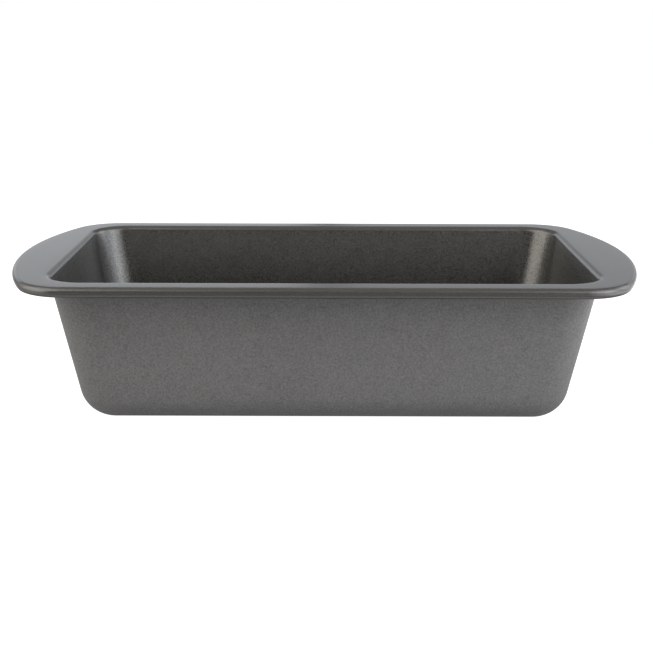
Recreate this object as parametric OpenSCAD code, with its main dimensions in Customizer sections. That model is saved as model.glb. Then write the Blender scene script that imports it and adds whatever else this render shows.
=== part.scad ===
// Loaf pan: a tub drawn from one steel sheet, whose rim spreads into a flat handle at each end.
// The sheet's edge is curled round a steel wire that runs all the way round the rim.
// The pan stands on z = 0, its length lies along X and its middle is at the origin.

/* [Tub] */
// Length of the opening, inside the walls at the level of the rim
inside_l = 228; // [170:1:320]
// Width of the opening, inside the walls at the level of the rim
inside_w = 128; // [90:1:150]
// Height from the underside of the floor to the top of the rim
height = 64; // [40:1:100]
// Lean of the walls away from upright, in degrees
draft = 10; // [3:0.5:15]
// Outside radius of the upright corners, the same from floor to rim
corner_r = 16; // [15:0.5:24]
// Outside radius of the bend between the floor and the walls
floor_bend_r = 14.5; // [5:0.5:15.5]
// Thickness of the steel sheet
sheet = 0.6; // [0.4:0.05:1.2]

/* [Rim] */
// Radius of the bend from the walls out into the rim, on its underside
rim_bend_r = 2; // [1:0.25:8]
// Flat width of the rim along the long sides, from that bend to the middle of the curl
side_flat = 7.6; // [5:0.2:16]
// How far the sheet's edge is curled round the wire, in degrees
curl_turn = 300; // [220:5:305]

/* [Rim wire] */
// Diameter of the wire
wire_d = 3; // [2:0.25:4.5]
// Play between the wire and the curl around it
wire_play = 0.05; // [0.03:0.01:0.2]
// Gap between the butted ends of the wire, in the middle of the back edge
wire_gap = 1; // [0.5:0.25:5]

/* [Handles] */
// Flat width of each handle at its middle, from the bend to the middle of the curl
handle_reach = 19; // [14:0.5:40]
// Radius of the bowed outer edge of each handle
handle_bow_r = 158; // [120:1:300]
// Radius that leads the bow into the long side
handle_corner_r = 20.5; // [12:0.5:30]

/* [Hidden] */
COATED_STEEL = "#6a6b6c";
BARE_STEEL = "#b9bcc0";

// How many flat steps stand for each round stretch
corner_steps = 12;
bow_steps = 5;
floor_bend_steps = 7;
rim_bend_steps = 6;
curl_steps = 16;
wire_steps = 16;

// Curl round the wire: it hangs below the rim, with its top level with it
curl_in_r = wire_d / 2 + wire_play;
curl_r = curl_in_r + sheet;
curl_z = height - curl_r;

// Bend from wall to rim, on its top side: its centre, measured outwards from the opening and up
rim_bend_top_r = rim_bend_r + sheet;
rim_bend_out = rim_bend_top_r * tan(45 - draft / 2);
rim_bend_z = height - rim_bend_top_r;

// Bend from floor to wall: how far its centre lies inside the opening, and the floor's own corners
floor_bend_in = (height - floor_bend_r) * tan(draft) + (floor_bend_r - sheet) / cos(draft);
floor_corner_r = corner_r - floor_bend_r * cos(draft);

// Corner radius of the opening, carried up the inside of the wall to the level of the rim
opening_corner_r = corner_r - sheet * cos(draft) + rim_bend_top_r * cos(draft) - rim_bend_out;

// Edge line, the middle of the curl: straight sides, then a corner arc, then the bow of the handle
edge_x = inside_l / 2 + rim_bend_out + handle_reach;
edge_y = inside_w / 2 + rim_bend_out + side_flat;
bow_x = edge_x - handle_bow_r;
arc_y = edge_y - handle_corner_r;
arc_x = bow_x + sqrt(pow(handle_bow_r - handle_corner_r, 2) - pow(arc_y, 2));
bow_turn = atan2(arc_y, arc_x - bow_x);

// Angles from one to another in equal steps, both ends included
function turns(from, to, steps) = [for (i = [0:steps]) from + (to - from) * i / steps];

// Direction that the edge line faces at each of its places, from the middle of a handle to a side
edge_turns = concat(
    turns(0, bow_turn, bow_steps),
    [for (i = [1:corner_steps + 1 - bow_steps])
        bow_turn + (90 - bow_turn) * i / (corner_steps + 1 - bow_steps)]
);

// A quarter of a rounded rectangle, from the middle of an end to the middle of a side
function tub_quarter(half_l, half_w, r) = [
    [half_l, 0],
    for (a = turns(0, 90, corner_steps)) [half_l - r + r * cos(a), half_w - r + r * sin(a)],
    [0, half_w]
];

// A quarter of the edge line, moved outwards by a distance
function edge_quarter(out) = [
    for (a = edge_turns)
        a <= bow_turn
            ? [bow_x, 0] + (handle_bow_r + out) * [cos(a), sin(a)]
            : [arc_x, arc_y] + (handle_corner_r + out) * [cos(a), sin(a)],
    [0, edge_y + out]
];

// A closed ring at one level, from a quarter of it
function all_round(q, z) = let (n = len(q) - 1) [
    for (i = [0:n - 1]) [q[i].x, q[i].y, z],
    for (i = [n:-1:1]) [-q[i].x, q[i].y, z],
    for (i = [0:n - 1]) [-q[i].x, -q[i].y, z],
    for (i = [n:-1:1]) [q[i].x, -q[i].y, z]
];

// Ring of the tub at a distance outside the opening, with its corners kept concentric
function tub_ring(out, r, z) = all_round(tub_quarter(inside_l / 2 + out, inside_w / 2 + out, r), z);

// Rings round one face of the bend between floor and wall, from the floor up
function floor_bend(r) = [
    for (a = turns(0, 90 - draft, floor_bend_steps))
        tub_ring(r * sin(a) - floor_bend_in, floor_corner_r + r * sin(a), floor_bend_r - r * cos(a))
];

// Rings round one face of the bend between wall and rim, from the wall up
function rim_bend(r) = [
    for (a = turns(draft, 90, rim_bend_steps))
        let (out = rim_bend_out - r * cos(a))
            tub_ring(out, opening_corner_r + out, rim_bend_z + r * sin(a))
];

// Rings round one face of the curl, from the top of the rim outwards, down and back under
function curl(r) = [
    for (a = turns(90, 90 - curl_turn, curl_steps))
        all_round(edge_quarter(r * cos(a)), curl_z + r * sin(a))
];

// The edge line as an open path, from one side of the wire's gap to the other
function wire_path(out, z) =
    let (q = edge_quarter(out), n = len(q) - 1, ring = all_round(q, z), count = len(ring))
    [
        [-wire_gap / 2, edge_y + out, z],
        for (i = [1:count - 1]) ring[(n + i) % count],
        [wire_gap / 2, edge_y + out, z]
    ];

function reversed(list) = [for (i = [len(list) - 1:-1:0]) list[i]];

// Closed skin through rings of equally many points, with a flat face across the first and the last
module skin(rings) {
    count = len(rings[0]);
    last = (len(rings) - 1) * count;
    polyhedron(
        points = [for (ring = rings) each ring],
        faces = [
            [for (i = [count:-1:1]) i % count],
            for (k = [0:count:last - 1], i = [0:count - 1])
                let (a = k + i, b = k + (i + 1) % count)
                    each [[a, b, b + count], [a, b + count, a + count]],
            [for (i = [0:count - 1]) last + i]
        ]
    );
}

module pan_body() {
    inside = concat(floor_bend(floor_bend_r - sheet), rim_bend(rim_bend_top_r), curl(curl_r));
    outside = concat(floor_bend(floor_bend_r), rim_bend(rim_bend_r), curl(curl_in_r));
    color(COATED_STEEL) skin(concat(inside, reversed(outside)));
}

module rim_wire() {
    around = [
        for (i = [0:wire_steps - 1])
            let (a = 360 * i / wire_steps)
                wire_path(wire_d / 2 * cos(a), curl_z + wire_d / 2 * sin(a))
    ];
    color(BARE_STEEL)
        skin([for (i = [0:len(around[0]) - 1]) [for (path = around) path[i]]]);
}

pan_body();
rim_wire();
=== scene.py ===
"""Loaf pan: the coated sheet-steel pressing with its wired rim, on a white studio table.

Every length is in metres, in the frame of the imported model: the pan stands on z = 0, its length
lies along X and the camera looks along +Y.
"""

import math

import bmesh
import bpy
from mathutils import Matrix, Vector


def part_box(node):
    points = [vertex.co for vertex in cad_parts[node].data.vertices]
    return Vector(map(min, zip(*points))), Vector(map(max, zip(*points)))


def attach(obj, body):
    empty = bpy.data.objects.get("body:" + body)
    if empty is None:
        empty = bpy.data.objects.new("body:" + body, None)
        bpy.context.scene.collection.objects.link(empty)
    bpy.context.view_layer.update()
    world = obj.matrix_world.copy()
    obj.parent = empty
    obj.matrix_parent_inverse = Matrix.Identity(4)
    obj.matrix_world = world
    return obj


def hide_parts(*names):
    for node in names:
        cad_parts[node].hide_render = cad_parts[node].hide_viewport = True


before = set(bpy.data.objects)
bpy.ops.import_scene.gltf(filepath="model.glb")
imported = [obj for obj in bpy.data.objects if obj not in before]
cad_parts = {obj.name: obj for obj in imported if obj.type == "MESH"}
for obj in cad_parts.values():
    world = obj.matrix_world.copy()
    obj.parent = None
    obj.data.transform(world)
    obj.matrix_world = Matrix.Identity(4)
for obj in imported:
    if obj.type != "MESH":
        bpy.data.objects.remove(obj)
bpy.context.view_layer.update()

MM = 0.001
QUARTER_TURN = math.pi / 2

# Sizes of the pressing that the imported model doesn't state by itself
INSIDE_LENGTH = 228 * MM
INSIDE_WIDTH = 128 * MM
DRAFT = math.radians(10)
CORNER_RADIUS = 16 * MM
FLOOR_BEND_RADIUS = 14.5 * MM
SHEET = 0.6 * MM
RIM_BEND_RADIUS = 2 * MM
CURL_TURN = math.radians(300)
HANDLE_BOW_RADIUS = 158 * MM
HANDLE_CORNER_RADIUS = 20.5 * MM

# Steps of the pressing's mesh: along a quarter of its outline, and across each stretch of its section
END_STEPS = 15
CORNER_STEPS = 27
SIDE_STEPS = 10
QUARTER_STEPS = END_STEPS + CORNER_STEPS + SIDE_STEPS
BOW_STEPS = END_STEPS + CORNER_STEPS // 3
FLOOR_ROWS = 14
FLOOR_BEND_ROWS = 14
WALL_ROWS = 10
RIM_BEND_ROWS = 10
RIM_ROWS = 4
CURL_ROWS = 36
GRID_SIZE = 1.0
MERGE_DISTANCE = SHEET / 100

# Coats: dark and light specks of the grain, and the finish
INSIDE_SPECKS = ((0.076, 0.075, 0.073, 1), (0.18, 0.178, 0.175, 1))
INSIDE_FINISH = {"metal": 0.88, "index": 1.5, "roughness": 0.3}
INSIDE_GRAIN = 1.15
RIM_SHEEN = 0.6
RIM_GRAIN = 0.35
RIM_COAT_DROP = 1.08  # where the rim's coat starts, below the curl's middle, in radii of the curl
OUTSIDE_SPECKS = ((0.1, 0.1, 0.1, 1), (0.21, 0.21, 0.21, 1))
OUTSIDE_FINISH = {"metal": 0, "index": 1.4, "roughness": 0.5}
COAT_RELIEF = 0.02 * MM

# Noises that the coats are made of: their sizes, and their shares in tone, gloss and relief
GRAIN_SIZE = 0.8 * MM
MOTTLE_SIZE = 6 * MM
CLOUD_SIZE = 70 * MM
NOISE_ROUGHNESS = 0.6
NOISE_RANGE = (0.3, 0.7)
NOISE_MIDDLE = 0.5
GRAIN_TONE = 0.8
MOTTLE_TONE = 0.12
CLOUD_TONE = 0.08
GRAIN_GLOSS = 0.2
CLOUD_GLOSS = 0.03
MOTTLE_RELIEF = 0.5

# Drawn wire in the curl
WIRE_DARK = (0.33, 0.33, 0.34, 1)
WIRE_LIGHT = (0.55, 0.56, 0.57, 1)
WIRE_PATCH = 2 * MM
WIRE_ROUGHNESS = (0.25, 0.5)

# Camera that the photograph's outline was fitted with
CAMERA_PLACE = Vector((0.9, -536.7, 170.5)) * MM
CAMERA_PITCH = math.radians(14.80)
CAMERA_ROLL = math.radians(0.17)
FOCAL_PIXELS = 1200
PICTURE_PIXELS = 653
SENSOR_WIDTH = 36
CLIP_START = 10 * MM

# Table: its grey, and the glow that the pan gets from it near its front and out at its sides
TABLE_RADIUS = 1.1
TABLE_STEPS = 96
TABLE_GREY = (0.26, 0.26, 0.26, 1)
TABLE_ROUGHNESS = 0.8
TABLE_GLOW = 0.1
TABLE_WHITE = 1
SIDE_GLOW_REACH = (170 * MM, 240 * MM)
RIGHT_SIDE_GLOW = 1.6
LEFT_SIDE_GLOW = 0.35
NEAR_GLOW_START = (60 * MM, 80 * MM)
NEAR_GLOW_END = (90 * MM, 130 * MM)
FOOT_GLOW = 0.15
NEAR_GLOW = 0.57

# Soft lights
LIGHT_CENTRE = Vector((0, 0, 50)) * MM
LIGHT_DISTANCE = 1.6
KEY_DISTANCE = 0.7
WHITE = (1, 1, 1)
COOL = (0.96, 1, 1.05)
WARM = (1.06, 1, 0.92)


class Wire:
    """An output socket of a node tree or, without a socket, a maker of that tree's nodes.

    Arithmetic on a socket adds Math nodes to its tree.
    """

    def __init__(self, tree, socket=None):
        self.tree = tree
        self.socket = socket

    def node(self, kind, settings=None, inputs=None, output=0):
        """Adds a node, with its settings made first and then its sockets filled or linked."""
        made = self.tree.nodes.new(kind)
        for name, value in (settings or {}).items():
            setattr(made, name, value)
        for name, value in (inputs or {}).items():
            for item in value if isinstance(value, list) else [value]:
                if isinstance(item, Wire):
                    item.feed(made.inputs[name])
                else:
                    made.inputs[name].default_value = item
        return Wire(self.tree, made.outputs[output])

    def feed(self, socket):
        self.tree.links.new(self.socket, socket)

    def math(self, operation, first, second=0.0):
        return self.node("ShaderNodeMath", {"operation": operation}, {0: first, 1: second})

    def __add__(self, other):
        return self.math("ADD", self, other)

    def __sub__(self, other):
        return self.math("SUBTRACT", self, other)

    def __mul__(self, other):
        return self.math("MULTIPLY", self, other)

    def __truediv__(self, other):
        return self.math("DIVIDE", self, other)

    def __rsub__(self, other):
        return self.math("SUBTRACT", other, self)

    def __rtruediv__(self, other):
        return self.math("DIVIDE", other, self)

    def __neg__(self):
        return self * -1

    __radd__ = __add__
    __rmul__ = __mul__

    def cos(self):
        return self.math("COSINE", self)

    def sin(self):
        return self.math("SINE", self)

    def least(self, other):
        return self.math("MINIMUM", self, other)

    def above(self, other):
        return self.math("GREATER_THAN", self, other)

    def part(self, axis):
        """One part of a vector: 0 for X, 1 for Y or 2 for Z."""
        return self.node("ShaderNodeSeparateXYZ", {}, {0: self}, output=axis)

    def ramp(self, low, high, bottom=0.0, top=1.0):
        """Runs from bottom to top as this value goes from low to high, and stays there beyond."""
        return self.node(
            "ShaderNodeMapRange",
            {"clamp": True},
            {"Value": self, "From Min": low, "From Max": high, "To Min": bottom, "To Max": top},
        )

    def mix(self, first, second):
        """Goes from the first colour to the second as this value goes from 0 to 1."""
        return self.node(
            "ShaderNodeMix", {"data_type": "RGBA"}, {0: self, 6: first, 7: second}, output=2
        )


def pan_sizes():
    """The pressing's sizes by the name of the tree's input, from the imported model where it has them."""
    low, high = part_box("pan_body")
    wire_low, wire_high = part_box("rim_wire")
    height = high.z
    curl_height = (wire_low.z + wire_high.z) / 2
    curl_radius = height - curl_height
    rim_bend_radius = RIM_BEND_RADIUS + SHEET
    rim_bend_out = rim_bend_radius * math.tan((QUARTER_TURN - DRAFT) / 2)
    corner_side = (high.y - low.y) / 2 - curl_radius - HANDLE_CORNER_RADIUS
    bow_to_corner = HANDLE_BOW_RADIUS - HANDLE_CORNER_RADIUS
    floor_bend_inside = FLOOR_BEND_RADIUS - SHEET
    lean = (height - FLOOR_BEND_RADIUS) * math.tan(DRAFT)
    return {
        "Inside Length": INSIDE_LENGTH,
        "Inside Width": INSIDE_WIDTH,
        "Draft": DRAFT,
        "Floor Height": SHEET,
        "Floor Bend Radius": floor_bend_inside,
        "Floor Bend Inset": lean + floor_bend_inside / math.cos(DRAFT),
        "Floor Corner Radius": CORNER_RADIUS - FLOOR_BEND_RADIUS * math.cos(DRAFT),
        "Rim Height": height,
        "Rim Bend Radius": rim_bend_radius,
        "Rim Bend Outset": rim_bend_out,
        "Opening Corner Radius": CORNER_RADIUS + RIM_BEND_RADIUS * math.cos(DRAFT) - rim_bend_out,
        "Curl Height": curl_height,
        "Curl Radius": curl_radius,
        "Curl Turn": CURL_TURN,
        "Handle Corner Radius": HANDLE_CORNER_RADIUS,
        "Bow To Corner": bow_to_corner,
        "Bow Turn": math.asin(corner_side / bow_to_corner),
        "Bow Centre": (high.x - low.x) / 2 - curl_radius - HANDLE_BOW_RADIUS,
    }


def pressing_tree(sizes, inside_coat, rim_coat):
    """Node tree of the pressing's top side: floor, walls, rim, handles and curl as one open sheet.

    A quarter of it is a set of bands, each a grid whose X runs along the outline, from the middle of
    a handle to the middle of a long side, and whose Y runs across one stretch of the section.
    """
    tree = bpy.data.node_groups.new("PanPressing", "GeometryNodeTree")
    for name in sizes:
        tree.interface.new_socket(name, in_out="INPUT", socket_type="NodeSocketFloat")
    tree.interface.new_socket("Pressing", in_out="OUTPUT", socket_type="NodeSocketGeometry")
    entry = tree.nodes.new("NodeGroupInput")
    size = {name: Wire(tree, entry.outputs[name]) for name in sizes}

    new = Wire(tree)
    position = new.node("GeometryNodeInputPosition")
    along = position.part(0) + GRID_SIZE / 2
    across = position.part(1) + GRID_SIZE / 2

    corner_start = END_STEPS / QUARTER_STEPS
    corner_end = (END_STEPS + CORNER_STEPS) / QUARTER_STEPS
    bow_end = BOW_STEPS / QUARTER_STEPS
    end_run = along.ramp(0, corner_start)
    corner = along.ramp(corner_start, corner_end, 0, QUARTER_TURN)
    side_run = 1 - along.ramp(corner_end, 1)
    past_bow = along.ramp(bow_end, corner_end) * (QUARTER_TURN - size["Bow Turn"])
    facing = along.ramp(0, bow_end) * size["Bow Turn"] + past_bow
    bow = facing.least(size["Bow Turn"])

    def tub(out, radius):
        """A rounded rectangle at a distance outside the opening."""
        x = (size["Inside Length"] / 2 + out - radius) * side_run + radius * corner.cos()
        y = (size["Inside Width"] / 2 + out - radius) * end_run + radius * corner.sin()
        return x, y

    def edge(out):
        """The edge line, moved outwards: the bow of the handle, its corner and the long side."""
        reach = size["Handle Corner Radius"] + out
        x = size["Bow Centre"] + size["Bow To Corner"] * bow.cos() + reach * facing.cos()
        y = size["Bow To Corner"] * bow.sin() + reach * facing.sin()
        return x * side_run, y

    def floor_bend(turn):
        """Distance outside the opening, corner radius and height, after a turn up from the floor."""
        reach = size["Floor Bend Radius"] * turn.sin()
        out = reach - size["Floor Bend Inset"]
        rise = size["Floor Bend Radius"] - size["Floor Bend Radius"] * turn.cos()
        return out, size["Floor Corner Radius"] + reach, size["Floor Height"] + rise

    def rim_bend(turn):
        """Distance outside the opening, corner radius and height, after a turn from upright."""
        out = size["Rim Bend Outset"] - size["Rim Bend Radius"] * turn.cos()
        drop = size["Rim Bend Radius"] - size["Rim Bend Radius"] * turn.sin()
        return out, size["Opening Corner Radius"] + out, size["Rim Height"] - drop

    def between(first, second):
        return first + across * (second - first)

    def band(rows, x, y, z):
        grid = new.node(
            "GeometryNodeMeshGrid",
            {},
            {
                "Size X": GRID_SIZE,
                "Size Y": GRID_SIZE,
                "Vertices X": QUARTER_STEPS + 1,
                "Vertices Y": rows + 1,
            },
        )
        place = new.node("ShaderNodeCombineXYZ", {}, {0: x, 1: y, 2: z})
        return new.node("GeometryNodeSetPosition", {}, {"Geometry": grid, "Position": place})

    upright = QUARTER_TURN - size["Draft"]
    floor_x, floor_y = tub(-size["Floor Bend Inset"], size["Floor Corner Radius"])
    bend_out, bend_radius, bend_z = floor_bend(across * upright)
    foot_out, foot_radius, foot_z = floor_bend(upright)
    head_out, head_radius, head_z = rim_bend(size["Draft"])
    turn_out, turn_radius, turn_z = rim_bend(size["Draft"] + across * upright)
    wall = tub(between(foot_out, head_out), between(foot_radius, head_radius))
    opening_radius = size["Opening Corner Radius"] + size["Rim Bend Outset"]
    opening_x, opening_y = tub(size["Rim Bend Outset"], opening_radius)
    edge_x, edge_y = edge(0)
    curl = QUARTER_TURN - across * size["Curl Turn"]
    curl_z = size["Curl Height"] + size["Curl Radius"] * curl.sin()

    bands = [
        band(FLOOR_ROWS, floor_x * across, floor_y * across, size["Floor Height"]),
        band(FLOOR_BEND_ROWS, *tub(bend_out, bend_radius), bend_z),
        band(WALL_ROWS, *wall, between(foot_z, head_z)),
        band(RIM_BEND_ROWS, *tub(turn_out, turn_radius), turn_z),
        band(RIM_ROWS, between(opening_x, edge_x), between(opening_y, edge_y), size["Rim Height"]),
        band(CURL_ROWS, *edge(size["Curl Radius"] * curl.cos()), curl_z),
    ]
    sheet = new.node("GeometryNodeJoinGeometry", {}, {0: bands})
    sheet = new.node("GeometryNodeFlipFaces", {}, {0: sheet})
    for mirrored in ((-1, 1, 1), (1, -1, 1)):
        copy = new.node("GeometryNodeTransform", {}, {"Geometry": sheet, "Scale": mirrored})
        copy = new.node("GeometryNodeFlipFaces", {}, {0: copy})
        sheet = new.node("GeometryNodeJoinGeometry", {}, {0: [sheet, copy]})
    sheet = new.node(
        "GeometryNodeMergeByDistance", {}, {"Geometry": sheet, "Distance": MERGE_DISTANCE}
    )
    sheet = new.node("GeometryNodeSetShadeSmooth", {}, {"Geometry": sheet})
    sheet = new.node("GeometryNodeRealizeInstances", {}, {"Geometry": sheet})
    sheet = new.node("GeometryNodeSetMaterial", {}, {"Geometry": sheet, "Material": inside_coat})
    on_rim = position.part(2).above(size["Curl Height"] - size["Curl Radius"] * RIM_COAT_DROP)
    sheet = new.node(
        "GeometryNodeSetMaterial",
        {},
        {"Geometry": sheet, "Selection": on_rim, "Material": rim_coat},
    )
    leave = tree.nodes.new("NodeGroupOutput")
    sheet.feed(leave.inputs[0])
    return tree


def evaluated(piece):
    """The piece's mesh with its modifiers carried out."""
    graph = bpy.context.evaluated_depsgraph_get()
    return bpy.data.meshes.new_from_object(piece.evaluated_get(graph))


def make_pan(inside_coat, rim_coat, outside_coat):
    """The pressing as a sheet with its thickness, coated inside, on the rim, and outside and below."""
    sizes = pan_sizes()
    tree = pressing_tree(sizes, inside_coat, rim_coat)
    pan = bpy.data.objects.new("pan_pressing", bpy.data.meshes.new("pan_pressing"))
    bpy.context.scene.collection.objects.link(pan)
    shape = pan.modifiers.new("Pressing", "NODES")
    shape.node_group = tree
    for item in tree.interface.items_tree:
        if item.in_out == "INPUT":
            shape[item.identifier] = sizes[item.name]
    pan.data = evaluated(pan)
    pan.modifiers.remove(shape)
    pan.data.materials.pop(index=0)  # the empty slot that the grids bring

    sheet = bmesh.new()
    sheet.from_mesh(pan.data)
    bmesh.ops.recalc_face_normals(sheet, faces=sheet.faces)
    floor_middle = min(sheet.faces, key=lambda face: face.calc_center_median().length)
    if floor_middle.normal.z < 0:
        bmesh.ops.reverse_faces(sheet, faces=sheet.faces)
    sheet.to_mesh(pan.data)
    sheet.free()

    pan.data.materials.append(outside_coat)
    wall = pan.modifiers.new("Sheet", "SOLIDIFY")
    wall.thickness = SHEET
    wall.offset = -1
    wall.use_even_offset = True
    wall.material_offset = len(pan.data.materials) - 1
    pan.data = evaluated(pan)
    pan.modifiers.remove(wall)
    pan.data.name = pan.name
    return pan


def coat_material(name, specks, metal, index, roughness, sheen=1, sandy=1):
    """Sprayed non-stick coat: a fine sandy grain with a satin gloss.

    A sheen below 1 dulls its edge-on shine, and sandy scales its grain.
    """
    material = bpy.data.materials.new(name)
    material.use_nodes = True
    shader = material.node_tree.nodes["Principled BSDF"]
    new = Wire(material.node_tree)
    place = new.node("ShaderNodeTexCoord", output="Object")

    def noise(size, detail):
        return new.node(
            "ShaderNodeTexNoise",
            {},
            {"Vector": place, "Scale": 1 / size, "Detail": detail, "Roughness": NOISE_ROUGHNESS},
        )

    def swing(wave):
        """How far a noise is from its middle, stretched and clipped to half either way."""
        return wave.ramp(*NOISE_RANGE, -NOISE_MIDDLE, NOISE_MIDDLE)

    grain = noise(GRAIN_SIZE, detail=3)
    mottle = noise(MOTTLE_SIZE, detail=2)
    cloud = noise(CLOUD_SIZE, detail=2)
    speckle = (swing(grain) * GRAIN_TONE + swing(mottle) * MOTTLE_TONE) * sandy
    tone = NOISE_MIDDLE + speckle + swing(cloud) * CLOUD_TONE
    grain_gloss = (grain - NOISE_MIDDLE) * sandy * GRAIN_GLOSS
    gloss = roughness + grain_gloss + (cloud - NOISE_MIDDLE) * CLOUD_GLOSS
    relief = (grain + mottle * MOTTLE_RELIEF) * sandy
    bump = new.node(
        "ShaderNodeBump", {}, {"Strength": 1.0, "Distance": COAT_RELIEF, "Height": relief}
    )
    tone.mix(*specks).feed(shader.inputs["Base Color"])
    gloss.feed(shader.inputs["Roughness"])
    bump.feed(shader.inputs["Normal"])
    shader.inputs["Metallic"].default_value = metal
    shader.inputs["IOR"].default_value = index
    shader.inputs["Specular Tint"].default_value = (sheen, sheen, sheen, 1)
    return material


def wire_material():
    """Drawn steel wire: bright metal with dull patches."""
    material = bpy.data.materials.new("drawn_wire")
    material.use_nodes = True
    shader = material.node_tree.nodes["Principled BSDF"]
    new = Wire(material.node_tree)
    place = new.node("ShaderNodeTexCoord", output="Object")
    patch = new.node(
        "ShaderNodeTexNoise", {}, {"Vector": place, "Scale": 1 / WIRE_PATCH, "Detail": 2.0}
    )
    patch.mix(WIRE_DARK, WIRE_LIGHT).feed(shader.inputs["Base Color"])
    patch.ramp(0, 1, *WIRE_ROUGHNESS).feed(shader.inputs["Roughness"])
    shader.inputs["Metallic"].default_value = 1.0
    return material


def make_table():
    """A round table: white to the camera, and grey to the pan but for a glow in front and at its sides."""
    angles = [2 * math.pi * step / TABLE_STEPS for step in range(TABLE_STEPS)]
    rim = [(TABLE_RADIUS * math.cos(a), TABLE_RADIUS * math.sin(a), 0) for a in angles]
    mesh = bpy.data.meshes.new("table")
    mesh.from_pydata(rim, [], [range(TABLE_STEPS)])
    table = bpy.data.objects.new("table", mesh)
    bpy.context.scene.collection.objects.link(table)
    material = bpy.data.materials.new("white_table")
    material.use_nodes = True
    shader = material.node_tree.nodes["Principled BSDF"]
    shader.inputs["Base Color"].default_value = TABLE_GREY
    shader.inputs["Roughness"].default_value = TABLE_ROUGHNESS
    shader.inputs["Emission Color"].default_value = (*WHITE, 1)
    new = Wire(material.node_tree)
    place = new.node("ShaderNodeTexCoord", output="Object")
    right = place.part(0)
    front = -place.part(1)
    near = front.ramp(*NEAR_GLOW_START, FOOT_GLOW, NEAR_GLOW) * front.ramp(*NEAR_GLOW_END, 1, 0)
    right_side = right.ramp(*SIDE_GLOW_REACH, 0, RIGHT_SIDE_GLOW)
    left_side = (-right).ramp(*SIDE_GLOW_REACH, 0, LEFT_SIDE_GLOW)
    seen = new.node("ShaderNodeLightPath", output="Is Camera Ray")
    glow = (1 - seen) * (TABLE_GLOW + near + right_side + left_side) + seen * TABLE_WHITE
    glow.feed(shader.inputs["Emission Strength"])
    mesh.materials.append(material)
    return table


def light_studio():
    """Dark surroundings that the camera sees as white."""
    world = bpy.data.worlds.new("studio")
    world.use_nodes = True
    sky = world.node_tree.nodes["Background"]
    sky.inputs["Color"].default_value = (*WHITE, 1)
    seen = Wire(world.node_tree).node("ShaderNodeLightPath", output="Is Camera Ray")
    seen.feed(sky.inputs["Strength"])
    bpy.context.scene.world = world


def add_softbox(name, azimuth, elevation, size, brightness, colour, distance=LIGHT_DISTANCE):
    """A soft light that faces the pan from an azimuth, 0 at the camera and 90 at +X, and an elevation."""
    round_ = math.radians(azimuth)
    up = math.radians(elevation)
    level = math.cos(up)
    outwards = Vector((math.sin(round_) * level, -math.cos(round_) * level, math.sin(up)))
    light = bpy.data.lights.new(name, "AREA")
    light.shape = "RECTANGLE"
    light.size, light.size_y = size
    light.energy = brightness * math.pi * light.size * light.size_y
    light.color = colour
    lamp = bpy.data.objects.new(name, light)
    lamp.location = LIGHT_CENTRE + distance * outwards
    lamp.rotation_euler = outwards.to_track_quat("Z", "Y").to_euler()
    lamp.visible_camera = False
    bpy.context.scene.collection.objects.link(lamp)


def add_camera():
    """The fitted camera, in front of the pan and a little above it."""
    camera = bpy.data.cameras.new("camera")
    camera.sensor_width = SENSOR_WIDTH
    camera.lens = FOCAL_PIXELS / PICTURE_PIXELS * SENSOR_WIDTH
    camera.clip_start = CLIP_START
    holder = bpy.data.objects.new("camera", camera)
    bpy.context.scene.collection.objects.link(holder)
    holder.matrix_world = (
        Matrix.Translation(CAMERA_PLACE)
        @ Matrix.Rotation(QUARTER_TURN - CAMERA_PITCH, 4, "X")
        @ Matrix.Rotation(CAMERA_ROLL, 4, "Z")
    )
    bpy.context.scene.camera = holder


inside_coat = coat_material("inside_coat", INSIDE_SPECKS, **INSIDE_FINISH, sandy=INSIDE_GRAIN)
rim_coat = coat_material(
    "rim_coat", INSIDE_SPECKS, **INSIDE_FINISH, sheen=RIM_SHEEN, sandy=RIM_GRAIN
)
outside_coat = coat_material("outside_coat", OUTSIDE_SPECKS, **OUTSIDE_FINISH)
pan = make_pan(inside_coat, rim_coat, outside_coat)
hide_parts("pan_body")
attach(pan, "root")

rim_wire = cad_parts["rim_wire"]
rim_wire.data.materials.clear()
rim_wire.data.materials.append(wire_material())

make_table()

bpy.context.scene.view_settings.view_transform = "Standard"
light_studio()
# Azimuth and elevation in degrees, width and height, brightness and colour
add_softbox("right_key", 51, 22, (0.6, 0.4), 1.62, WHITE, KEY_DISTANCE)
add_softbox("right_light", 78, 20, (1.75, 1.2), 1.65, COOL)
add_softbox("right_back_light", 120, 20, (0.9, 1.2), 2.45, WHITE)
add_softbox("right_upper_light", 60, 48, (1.6, 0.8), 1.12, COOL)
add_softbox("left_light", -77, 20, (1.75, 1.2), 2.2, WARM)
add_softbox("left_back_light", -120, 20, (0.9, 1.2), 1.2, WHITE)
add_softbox("left_upper_light", -68, 52, (1.9, 0.9), 1.42, WHITE)
add_softbox("front_light", 0, 42, (2.4, 0.95), 0.44, WARM)
add_softbox("front_low_light", -6, 8, (1.2, 0.4), 0.63, WARM)
add_softbox("high_back_light", 180, 48, (2.0, 1.2), 0.54, WARM)
add_softbox("overhead_light", 0, 90, (2.6, 1.7), 0.5, WARM)
add_softbox("left_backdrop", -160, 10, (1.1, 0.6), 1.92, COOL)
add_softbox("right_backdrop", 160, 10, (1.1, 0.6), 1.52, COOL)
add_camera()
